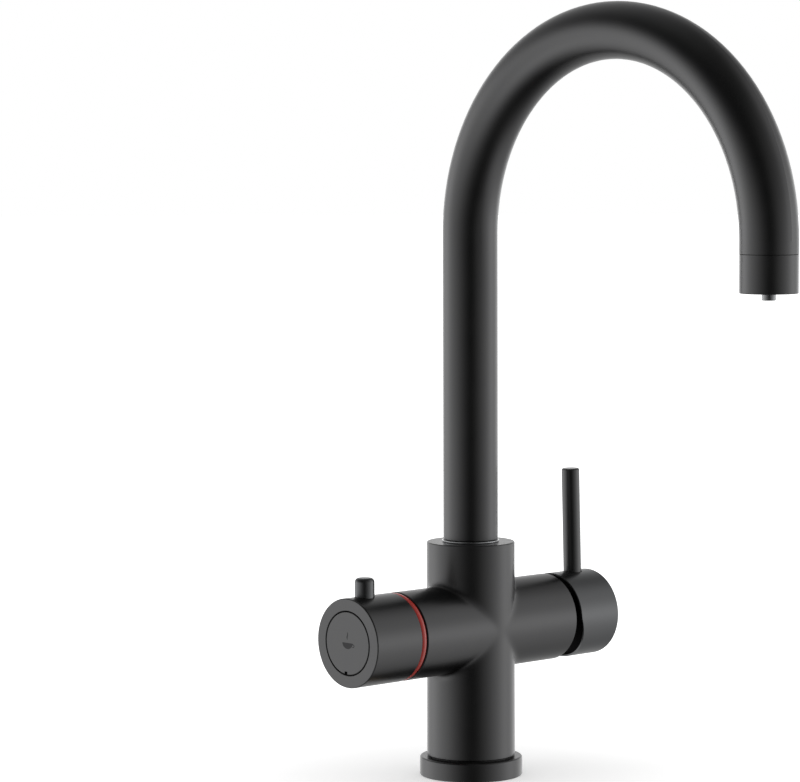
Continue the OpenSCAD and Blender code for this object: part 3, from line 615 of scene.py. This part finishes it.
def ridge_points(
    radius: float, depth: float, pitch: float, low: float, turns: float, around: int
) -> tuple[Points, Faces]:
    """Works out a V-shaped thread ridge about the Z axis.

    Args:
        radius: radius of the cylinder that carries the ridge, in millimetres.
        depth: how far the crest stands out of it.
        pitch: distance between turns.
        low: height where the ridge starts.
        turns: number of turns.
        around: steps in one turn.

    Returns:
        The vertices and the faces of the ridge.
    """
    # the foot of the ridge is sunk into the cylinder, so that no gap shows
    half_foot, half_crest, sunk = pitch * 0.42, 0.12, 0.05
    points: Points = []
    faces: Faces = []
    steps = int(turns * around)
    for i in range(steps + 1):
        angle = 2 * math.pi * i / around
        height = low + pitch * i / around
        # the ridge runs out to nothing over the first and last half turn
        fade = min(1.0, i / (around / 2), (steps - i) / (around / 2))
        foot, crest = radius - sunk, radius + depth * fade
        section = [(foot, -half_foot), (crest, -half_crest), (crest, half_crest), (foot, half_foot)]
        for r, up in section:
            points.append((r * math.cos(angle), r * math.sin(angle), height + up))
    corners = len(section)
    for i in range(steps):
        for k in range(corners - 1):
            a = i * corners + k
            faces.append((a, a + 1, a + 1 + corners, a + corners))
    return points, faces


def coil_points(
    radius: float, wire: float, stations: Outline, around: int
) -> tuple[Points, Faces]:
    """Sweeps a round wire along a coil about the X axis of the arms.

    Args:
        radius: radius of the coil's middle line, in millimetres.
        wire: radius of the wire.
        stations: turns and X of the points that the coil runs through, in rising turns.
        around: steps in one turn.

    Returns:
        The vertices and the faces of the coil, with Z counted from the arms' axis.
    """
    # the wire's section has this many sides, and a turn may miss its span by rounding
    sides, rounding = 12, 1e-9
    steps = int((stations[-1][0] - stations[0][0]) * around)
    spans = list(zip(stations, stations[1:]))
    points: Points = []
    for i in range(steps + 1):
        turn = stations[0][0] + i / around
        (t0, x0), (t1, x1) = next(
            (span for span in spans if turn <= span[1][0] + rounding), spans[-1]
        )
        along = x0 + (x1 - x0) * (turn - t0) / (t1 - t0)
        angle = 2 * math.pi * turn
        for k in range(sides):
            b = 2 * math.pi * k / sides
            out = radius + wire * math.cos(b)
            points.append(
                (along + wire * math.sin(b), out * math.cos(angle), out * math.sin(angle))
            )
    last = steps * sides
    faces: Faces = [tuple(range(sides)), tuple(range(last, last + sides))]
    for i in range(steps):
        for k in range(sides):
            n = (k + 1) % sides
            faces.append((i * sides + k, i * sides + n, (i + 1) * sides + n, (i + 1) * sides + k))
    return points, faces


def plate_from_outline(
    outline: Outline, plane_x: float, thickness: float
) -> tuple[Points, Faces]:
    """Makes a thin plate that faces -X from an outline in Y and Z.

    Args:
        outline: corners of the plate, as Y and Z in millimetres.
        plane_x: X of the surface that the plate lies on.
        thickness: how far it stands out of that surface.

    Returns:
        The vertices and the faces of the plate.
    """
    # the plate reaches a little into the surface, so that no gap shows
    count, sunk = len(outline), 0.02
    points = [(plane_x - thickness, y, z) for y, z in outline]
    points += [(plane_x + sunk, y, z) for y, z in outline]
    faces: Faces = [tuple(range(count)), tuple(range(2 * count - 1, count - 1, -1))]
    for i in range(count):
        j = (i + 1) % count
        faces.append((i, j, count + j, count + i))
    return points, faces


# ---------------------------------------------------------------------------------------
# sub-assemblies
# ---------------------------------------------------------------------------------------


@dataclass
class Assembly:
    """A group of CAD nodes that ride on one body, with the pieces added to them."""

    body: str
    nodes: list[str] = field(default_factory=list)

    def dress(self) -> None:
        """Gives every CAD node of the assembly its own finish, or the one of its slot."""
        slots = {p["node"]: p["material_slot"] for p in frame["record"]["subparts"]}
        for name in self.nodes:
            material = NODE_FINISHES.get(name, SLOT_FINISHES[slots[name]]).build()
            node = frame["nodes"][name]
            for slot in node.material_slots:
                slot.material = material
            LOG.info("dressed %s in %s", name, material.name)

    def keep(self, piece: bpy.types.Object, slot: str) -> None:
        """Lets a new piece ride on the body.

        Args:
            piece: the new piece.
            slot: the name of its material slot; not used.
        """
        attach(piece, self.body)
        LOG.info("added %s on %s", piece.name, self.body)

    def build(self) -> None:
        """Builds the added pieces; most assemblies have none."""


@dataclass
class FixedBody(Assembly):
    """The body with its base, its inner parts and the fixing under the worktop."""

    shank_radius: float = 16.4
    thread_depth: float = 0.45
    thread_pitch: float = 1.5
    thread_low: float = -46.5
    thread_high: float = -1.5
    steps_in_turn: int = 72

    def build(self) -> None:
        """Adds the thread of the shank."""
        turns = (self.thread_high - self.thread_low) / self.thread_pitch
        points, faces = ridge_points(
            self.shank_radius,
            self.thread_depth,
            self.thread_pitch,
            self.thread_low,
            turns,
            self.steps_in_turn,
        )
        self.keep(mesh_piece("shank_thread", points, faces, RAW_BRASS), "raw_brass")


@dataclass
class BoilingKnob(Assembly):
    """The turning knob with its spindle and the spring behind its push button.

    The spring runs from the floor of the knob's well to the back of the button's plate.
    """

    coil_radius: float = 6.9
    wire_radius: float = 0.45
    seat: float = 0.05
    plate: float = 2.6
    active_turns: float = 3.5
    steps_in_turn: int = 40

    def build(self) -> None:
        """Adds the spring, with a closed turn at both ends."""
        press = joint("button_press")
        floor_x = press["deforming_nodes"][0]["fixed_end_x_m"] / MM
        back_x = node_low("safety_button").x + self.plate
        first = floor_x - self.wire_radius - self.seat
        last = back_x + self.wire_radius + self.seat
        closed = 2 * self.wire_radius
        stations = [
            (0.0, first),
            (1.0, first - closed),
            (1.0 + self.active_turns, last + closed),
            (2.0 + self.active_turns, last),
        ]
        points, faces = coil_points(
            self.coil_radius, self.wire_radius, stations, self.steps_in_turn
        )
        points = [(x, y, z + ARM_Z) for x, y, z in points]
        spring = mesh_piece("knob_spring", points, faces, SPRING_STEEL)
        self.keep(spring, "bright_steel")
        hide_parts("button_spring")
        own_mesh(spring)


@dataclass
class PushButton(Assembly):
    """The push button with a plain cup sign in the middle of its face.

    Sizes are in millimetres, and heights are counted from the face's middle.
    """

    bowl_width: float = 7.5
    bowl_height: float = 3.1
    bowl_top: float = 0.3
    bowl_belly: float = 0.16
    bowl_roundness: float = 0.8
    bowl_steps: int = 24
    handle_out: float = 1.6
    handle_rise: float = 0.95
    handle_down: float = 1.2
    handle_sunk: float = 0.2
    handle_bar: float = 0.5
    handle_steps: int = 14
    steam_low: float = 1.9
    steam_high: float = 5.6
    steam_bar: float = 0.42
    steam_sway: float = 0.22
    steam_shift: float = 0.1
    steam_blunt: float = 0.06
    steam_steps: int = 16
    relief: float = 0.01

    def _bowl(self) -> Outline:
        """Works out the cup's bowl: level on top, round below, drawn in a little under its rim.

        Returns:
            Its corners, as Y and Z.
        """
        half = self.bowl_width / 2
        top = ARM_Z + self.bowl_top
        turns = [math.pi * i / self.bowl_steps for i in range(self.bowl_steps + 1)]
        return [
            (-half * math.cos(a) * (1 - self.bowl_belly * math.sin(a) ** 2),
             top - self.bowl_height * math.sin(a) ** self.bowl_roundness)
            for a in turns
        ]

    def _handle(self) -> Outline:
        """Works out the cup's handle, half a ring at the bowl's side.

        Returns:
            Its corners, as Y and Z.
        """
        middle_y = self.handle_sunk - self.bowl_width / 2
        middle_z = ARM_Z + self.bowl_top - self.handle_down
        turns = [math.pi * i / self.handle_steps for i in range(self.handle_steps + 1)]
        corners: Outline = []
        for bar, around in ((0.0, turns), (self.handle_bar, turns[::-1])):
            reach, rise = self.handle_out - bar, self.handle_rise - bar
            corners += [
                (middle_y - reach * math.sin(a), middle_z + rise * math.cos(a)) for a in around
            ]
        return corners

    def _steam(self) -> Outline:
        """Works out one wavy line of steam that thins out at both ends.

        Returns:
            Its corners, as Y and Z.
        """
        left: Outline = []
        right: Outline = []
        for i in range(self.steam_steps + 1):
            share = i / self.steam_steps
            y = self.steam_shift + self.steam_sway * math.sin(2 * math.pi * share)
            z = ARM_Z + self.steam_low + (self.steam_high - self.steam_low) * share
            clear = min(max(share, self.steam_blunt), 1 - self.steam_blunt)
            width = self.steam_bar * math.sin(math.pi * clear) ** 0.5
            left.append((y + width, z))
            right.append((y - width, z))
        return left + right[::-1]

    def build(self) -> None:
        """Adds the cup sign."""
        face_x = node_low("safety_button").x
        shapes = {
            "cup_bowl": self._bowl(),
            "cup_handle": self._handle(),
            "cup_steam": self._steam(),
        }
        for name, outline in shapes.items():
            points, faces = plate_from_outline(outline, face_x, self.relief)
            self.keep(mesh_piece(name, points, faces, SIGN_MARK, smooth=False), "black_plastic")


# ---------------------------------------------------------------------------------------
# studio
# ---------------------------------------------------------------------------------------


@dataclass(frozen=True)
class SoftPatch:
    """A soft patch of light in the surroundings.

    Its place is counted from the level direction towards the camera, positive to the right.
    """

    turn_deg: float
    rise_deg: float
    tightness: float
    strength: float


@dataclass(frozen=True)
class LightRing:
    """Soft patches of light at even steps round the tap, all at one height."""

    rise_deg: float
    tightness: float
    first_deg: float
    step_deg: float
    strengths: tuple[float, ...]

    def patches(self) -> list[SoftPatch]:
        """Returns the ring's patches that give any light."""
        return [
            SoftPatch(self.first_deg + i * self.step_deg, self.rise_deg, self.tightness, strength)
            for i, strength in enumerate(self.strengths)
            if strength > 0
        ]


@dataclass(frozen=True)
class Softbox:
    """One large square soft lamp, which points at the tap."""

    name: str
    place_m: tuple[float, float, float]
    size_m: float = 1.2
    power_w: float = 6.0


@dataclass
class Studio:
    """Floor, background, lamps and camera of a plain pale studio."""

    # the camera's place, angles and lens come from a scratch fit to the outlines in the photo
    camera_mm: tuple[float, float, float] = (-1219.89, -1260.87, 328.15)
    heading_deg: float = 47.1185
    tilt_deg: float = -4.2758
    roll_deg: float = -0.1772
    sensor_mm: float = 36.0
    lens_mm: float = 155.39
    clip_m: tuple[float, float] = (0.05, 60.0)
    floor_hole_mm: float = 17.5
    floor_radius_m: float = 12.0
    floor_drop_mm: float = 0.2
    floor_sides: int = 64
    floor_grain_mm: float = 1.1
    # how far from the tap the camera sees the floor fade to white, and its lift at the tap
    fade_m: tuple[float, float] = (0.02, 0.45)
    lift_near: float = 0.36
    even_level: float = 0.75
    lamp_aim_m: tuple[float, float, float] = (0.0, -0.08, 0.15)
    softboxes: tuple[Softbox, ...] = (
        Softbox("left_softbox", (-1.6, 0.9, 0.7)),
        Softbox("right_softbox", (1.5, -1.1, 0.8)),
    )
    # a level ring, dark before the camera and bright behind the tap, with two rings of weaker
    # patches above and below it and a little light from further up and down; the strengths were
    # not chosen by hand: a least-squares fit to the photo's grey levels made them, one was changed
    # afterwards, and all were rounded to 0.05
    rings: tuple[LightRing, ...] = (
        LightRing(
            rise_deg=0,
            tightness=20,
            first_deg=-165,
            step_deg=22,
            strengths=(
                1.85, 0.5, 1.25, 0.65, 0.3, 0.2, 0.1, 0,
                0, 0.15, 0.25, 0.35, 1.1, 0.35, 1.7, 1.2,
            ),
        ),
        LightRing(
            rise_deg=32,
            tightness=12,
            first_deg=-180,
            step_deg=36,
            strengths=(0.65, 0.3, 0, 0, 0, 0, 0.1, 0.15, 0.6, 0),
        ),
        LightRing(
            rise_deg=-32,
            tightness=12,
            first_deg=-180,
            step_deg=36,
            strengths=(0.6, 0.5, 0.7, 0.85, 0.15, 0, 0, 0.5, 0.4, 0.4),
        ),
        LightRing(rise_deg=65, tightness=8, first_deg=-135, step_deg=90, strengths=(0.15, 0, 0, 0)),
        LightRing(
            rise_deg=-65, tightness=8, first_deg=-135, step_deg=90, strengths=(0, 0, 0.05, 0.05)
        ),
    )

    def directions(self) -> tuple[Vector, Vector, Vector]:
        """Works out where the camera looks.

        Returns:
            Its right, up and forward directions.
        """
        heading, tilt, roll = map(math.radians, (self.heading_deg, self.tilt_deg, self.roll_deg))
        level = Vector((math.sin(heading), -math.cos(heading), 0))
        ahead = Vector((math.cos(heading), math.sin(heading), 0))
        forward = ahead * math.cos(tilt) + Vector((0, 0, math.sin(tilt)))
        right = level * math.cos(roll) + level.cross(forward) * math.sin(roll)
        return right, right.cross(forward), forward

    def camera(self) -> None:
        """Places the camera at the photograph's viewing angle."""
        data = bpy.data.cameras.new("camera")
        data.sensor_width = self.sensor_mm
        data.lens = self.lens_mm
        data.clip_start, data.clip_end = self.clip_m
        camera = bpy.data.objects.new("camera", data)
        right, up, forward = self.directions()
        turn = Matrix((right, up, -forward)).transposed()
        camera.matrix_world = Matrix.Translation(Vector(self.camera_mm) * MM) @ turn.to_4x4()
        bpy.context.scene.collection.objects.link(camera)
        bpy.context.scene.camera = camera

    def floor(self) -> None:
        """Lays a pale floor with a hole for the shank, as a worktop has."""
        work = bmesh.new()
        turns = [2 * math.pi * i / self.floor_sides for i in range(self.floor_sides)]
        inner, outer = (
            [
                work.verts.new((r * math.cos(a), r * math.sin(a), -self.floor_drop_mm * MM))
                for a in turns
            ]
            for r in (self.floor_hole_mm * MM, self.floor_radius_m)
        )
        for i in range(self.floor_sides):
            j = (i + 1) % self.floor_sides
            work.faces.new((inner[i], inner[j], outer[j], outer[i]))
        mesh = bpy.data.meshes.new("floor")
        work.to_mesh(mesh)
        work.free()
        mesh.materials.append(self.floor_material())
        floor = bpy.data.objects.new("floor", mesh)
        # mirroring surfaces look through the floor to the soft patches below it
        floor.visible_glossy = False
        bpy.context.scene.collection.objects.link(floor)

    def floor_material(self) -> bpy.types.Material:
        """Makes the floor's material: pale, with a white lift that only the camera sees.

        Returns:
            The material.
        """
        material = bpy.data.materials.new("pale_floor")
        material.use_nodes = True
        tree = material.node_tree
        tree.nodes.clear()
        path = add_node(tree, "ShaderNodeLightPath")
        place = add_node(tree, "ShaderNodeTexCoord").outputs["Object"]
        grain = add_node(
            tree,
            "ShaderNodeTexNoise",
            {"Vector": place, "Scale": 1 / (self.floor_grain_mm * MM), "Detail": 2.0},
        ).outputs["Fac"]
        tone = add_node(
            tree,
            "ShaderNodeMixRGB",
            {"Fac": grain, "Color1": linear("#e6e6e6"), "Color2": linear("#eaeaea")},
        ).outputs["Color"]
        matte = add_node(tree, "ShaderNodeBsdfDiffuse", {"Color": tone})
        # the floor fades to full white away from the tap, so that its far edge doesn't show
        away = add_node(
            tree, "ShaderNodeVectorMath", {0: place}, operation="LENGTH"
        ).outputs["Value"]
        near, far = self.fade_m
        strength = add_node(
            tree,
            "ShaderNodeMapRange",
            {"Value": away, "From Min": near, "From Max": far, "To Min": self.lift_near},
            interpolation_type="SMOOTHSTEP",
        ).outputs["Result"]
        lift = add_node(tree, "ShaderNodeEmission", {"Strength": strength})
        none = add_node(tree, "ShaderNodeEmission", {"Strength": 0.0})
        seen = add_node(
            tree,
            "ShaderNodeMixShader",
            {0: path.outputs["Is Camera Ray"], 1: none.outputs[0], 2: lift.outputs[0]},
        )
        total = add_node(tree, "ShaderNodeAddShader", {0: matte.outputs[0], 1: seen.outputs[0]})
        add_node(tree, "ShaderNodeOutputMaterial", {"Surface": total.outputs[0]})
        return material

    def patch(
        self, tree: bpy.types.NodeTree, direction: bpy.types.NodeSocket, glow: SoftPatch
    ) -> bpy.types.NodeSocket:
        """Makes one soft patch of light in the surroundings.

        Args:
            tree: the world's node tree.
            direction: the direction that is looked in.
            glow: the patch's place, width and strength.

        Returns:
            The output socket with the patch's light.
        """
        right, _, forward = self.directions()
        front = Vector((-forward.x, -forward.y, 0)).normalized()
        side = Vector((right.x, right.y, 0)).normalized()
        turn, rise = math.radians(glow.turn_deg), math.radians(glow.rise_deg)
        aim = (front * math.cos(turn) + side * math.sin(turn)) * math.cos(rise)
        aim.z = math.sin(rise)
        along = add_node(
            tree, "ShaderNodeVectorMath", {0: direction, 1: tuple(aim)}, operation="DOT_PRODUCT"
        ).outputs["Value"]
        # exp(k (cos - 1)) is a smooth round glow, narrower as k rises
        power = add_node(
            tree,
            "ShaderNodeMath",
            {0: along, 1: glow.tightness, 2: math.log(glow.strength) - glow.tightness},
            operation="MULTIPLY_ADD",
        ).outputs[0]
        return add_node(tree, "ShaderNodeMath", {0: power}, operation="EXPONENT").outputs[0]

    def world(self) -> None:
        """Sets the surroundings.

        The camera sees white, matt surfaces get an even level, and mirroring ones see the soft
        patches of the rings round a dark front and ceiling.
        """
        world = bpy.data.worlds.new("studio")
        bpy.context.scene.world = world
        world.use_nodes = True
        tree = world.node_tree
        tree.nodes.clear()
        path = add_node(tree, "ShaderNodeLightPath")
        direction = add_node(tree, "ShaderNodeTexCoord").outputs["Generated"]
        glows = [glow for ring in self.rings for glow in ring.patches()]
        total = self.patch(tree, direction, glows[0])
        for glow in glows[1:]:
            light = self.patch(tree, direction, glow)
            total = add_node(
                tree, "ShaderNodeMath", {0: total, 1: light}, operation="ADD"
            ).outputs[0]
        studio = add_node(tree, "ShaderNodeBackground", {"Strength": total})
        plain = add_node(tree, "ShaderNodeBackground", {"Strength": self.even_level})
        white = add_node(tree, "ShaderNodeBackground", {"Strength": 1.0})
        for background in (studio, plain, white):
            background.inputs["Color"].default_value = (1.0, 1.0, 1.0, 1.0)
        lit = add_node(
            tree,
            "ShaderNodeMixShader",
            {0: path.outputs["Is Glossy Ray"], 1: plain.outputs[0], 2: studio.outputs[0]},
        )
        seen = add_node(
            tree,
            "ShaderNodeMixShader",
            {0: path.outputs["Is Camera Ray"], 1: lit.outputs[0], 2: white.outputs[0]},
        )
        add_node(tree, "ShaderNodeOutputWorld", {"Surface": seen.outputs[0]})

    def lamp(self, box: Softbox) -> None:
        """Adds one soft lamp.

        Args:
            box: the lamp's name, place, size and power.
        """
        data = bpy.data.lights.new(box.name, "AREA")
        data.shape = "SQUARE"
        data.size = box.size_m
        data.energy = box.power_w
        lamp = bpy.data.objects.new(box.name, data)
        lamp.location = box.place_m
        aim = Vector(self.lamp_aim_m) - Vector(box.place_m)
        lamp.rotation_euler = aim.to_track_quat("-Z", "Y").to_euler()
        # mirroring surfaces show the soft patches instead of the lamp's square
        lamp.visible_glossy = False
        bpy.context.scene.collection.objects.link(lamp)

    def build(self) -> None:
        """Builds the whole studio."""
        bpy.context.scene.view_settings.view_transform = "Standard"
        self.camera()
        self.floor()
        self.world()
        for box in self.softboxes:
            self.lamp(box)


def main() -> None:
    """Builds the studio and the assemblies in order."""
    logging.basicConfig(level=logging.INFO, format="%(name)s: %(message)s")
    Studio().build()
    with_pieces = {"tap_body": FixedBody, "boiling_knob": BoilingKnob, "button": PushButton}
    for body, nodes in frame["record"]["behaviour"]["bodies"].items():
        group = with_pieces.get(body, Assembly)(body=body, nodes=list(nodes))
        group.dress()
        group.build()


if __name__ == "__main__":
    main()
